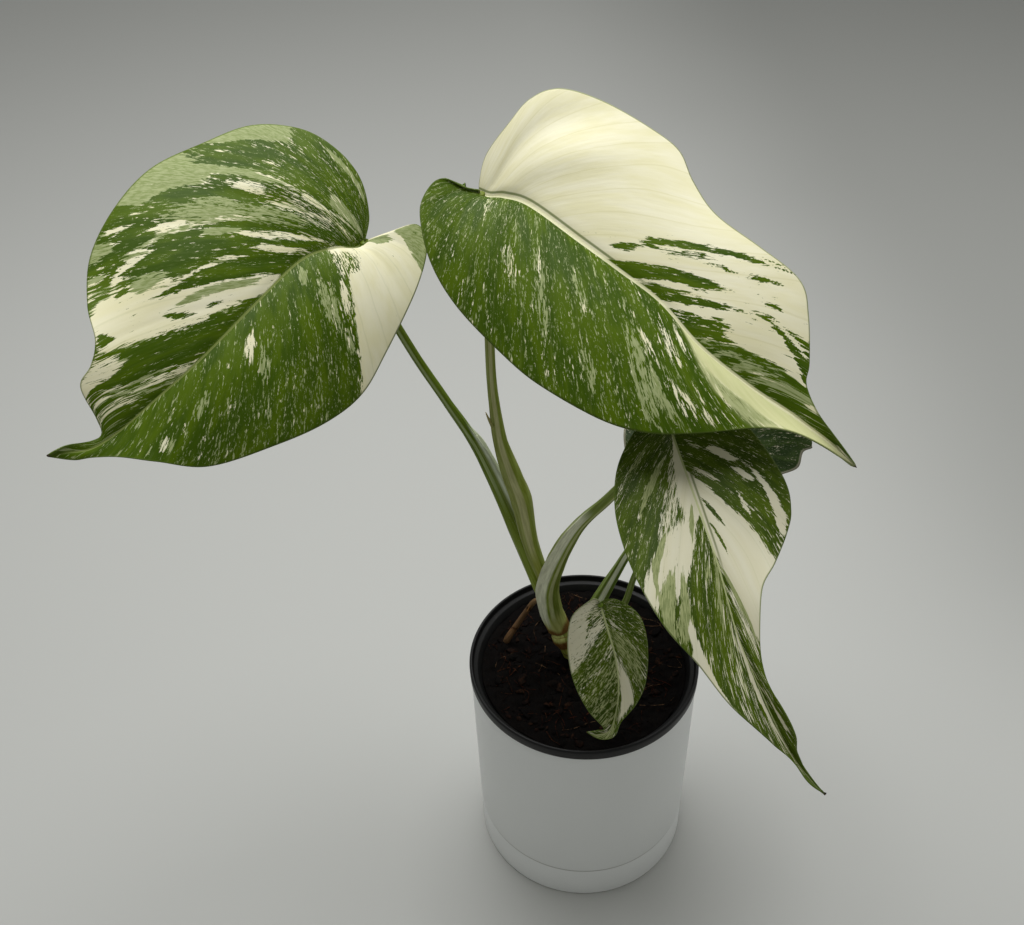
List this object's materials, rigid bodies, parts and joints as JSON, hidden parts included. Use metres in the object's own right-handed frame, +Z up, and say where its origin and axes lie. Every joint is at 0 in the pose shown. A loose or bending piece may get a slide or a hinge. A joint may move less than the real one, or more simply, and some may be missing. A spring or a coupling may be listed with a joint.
{
  "type": "potted variegated monstera",
  "caption": "Variegated climbing aroid with heart-shaped blades on long sheathed petioles, in a nursery pot inside a round planter on a saucer.",
  "frame": {"origin": "centre of the saucer's underside, on the table", "axes": "+Z up the pot's axis, +X to the viewer's right, +Y away from the viewer of the pictured side"},
  "size_m": [0.3228, 0.2516, 0.443],
  "materials": {
    "planter_white": "satin off-white moulded plastic with a faint sheen",
    "liner_black": "black moulded plastic, satin on the rim",
    "soil_dark": "moist dark potting mix of bark and coir with reddish fibres",
    "stem_pale": "pale whitish green with a brown node scar",
    "petiole_striped": "smooth, striped along its length in dark green, grey green and cream",
    "leaf_variegated": "waxy blade in dark green, sage and cream, with crisp streaks along the side veins",
    "root_brown": "matt brown aerial root"
  },
  "bodies": {
    "root": {"saucer": "planter_white", "planter": "planter_white", "nursery_pot": "liner_black", "soil": "soil_dark", "stem": "stem_pale", "petiole_lower": "petiole_striped", "petiole_left": "petiole_striped", "petiole_top": "petiole_striped", "petiole_back": "petiole_striped", "petiole_inner": "petiole_striped", "petiole_front": "petiole_striped", "aerial_root": "root_brown", "leaf_left": "leaf_variegated", "leaf_top": "leaf_variegated", "leaf_lower": "leaf_variegated", "leaf_front": "leaf_variegated", "leaf_back": "leaf_variegated", "leaf_inner": "leaf_variegated"}
  },
  "joints": []
}
